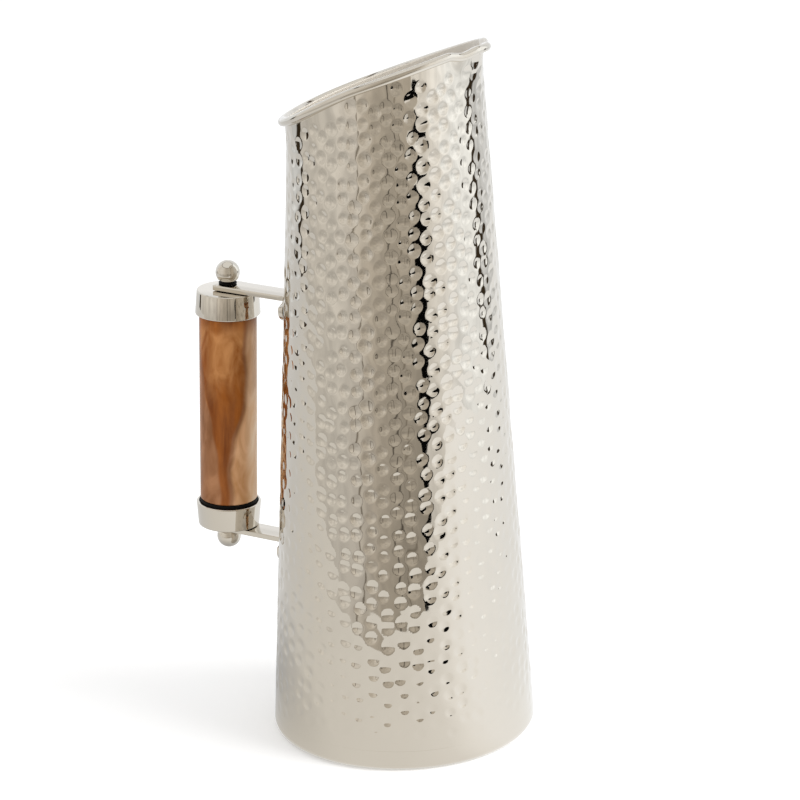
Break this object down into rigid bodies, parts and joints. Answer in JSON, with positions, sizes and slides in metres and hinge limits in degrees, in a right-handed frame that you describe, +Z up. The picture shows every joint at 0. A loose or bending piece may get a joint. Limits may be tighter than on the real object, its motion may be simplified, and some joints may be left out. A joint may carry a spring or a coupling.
{
  "type": "water pitcher",
  "caption": "Tall tapered water pitcher of hammered metal with a slanted wire-rimmed mouth, a pressed pouring lip and a bolted marbled bar handle.",
  "frame": {"origin": "centre of the flat underside, where the pitcher stands", "axes": "+Z up along the body's axis, +X towards the pouring lip, the handle at -X, +Y to complete a right-handed frame"},
  "size_m": [0.1557, 0.114, 0.3033],
  "materials": {
    "body_nickel": "polished warm nickel plate over hand-hammered sheet",
    "fittings_nickel": "polished smooth nickel plate",
    "grip_resin": "glossy marbled honey and brown resin",
    "black_rubber": "matt black rubber",
    "rod_steel": "plain threaded steel, hidden inside the grip"
  },
  "bodies": {
    "root": {"base_pan": "body_nickel", "body_shell": "body_nickel", "rim_wire": "body_nickel", "lower_arm": "fittings_nickel", "upper_arm": "fittings_nickel", "lower_ferrule": "fittings_nickel", "upper_ferrule": "fittings_nickel", "lower_finial": "fittings_nickel", "upper_finial": "fittings_nickel", "grip": "grip_resin", "lower_gasket": "black_rubber", "upper_gasket": "black_rubber", "finial_washer": "black_rubber", "tie_rod": "rod_steel"}
  },
  "joints": []
}
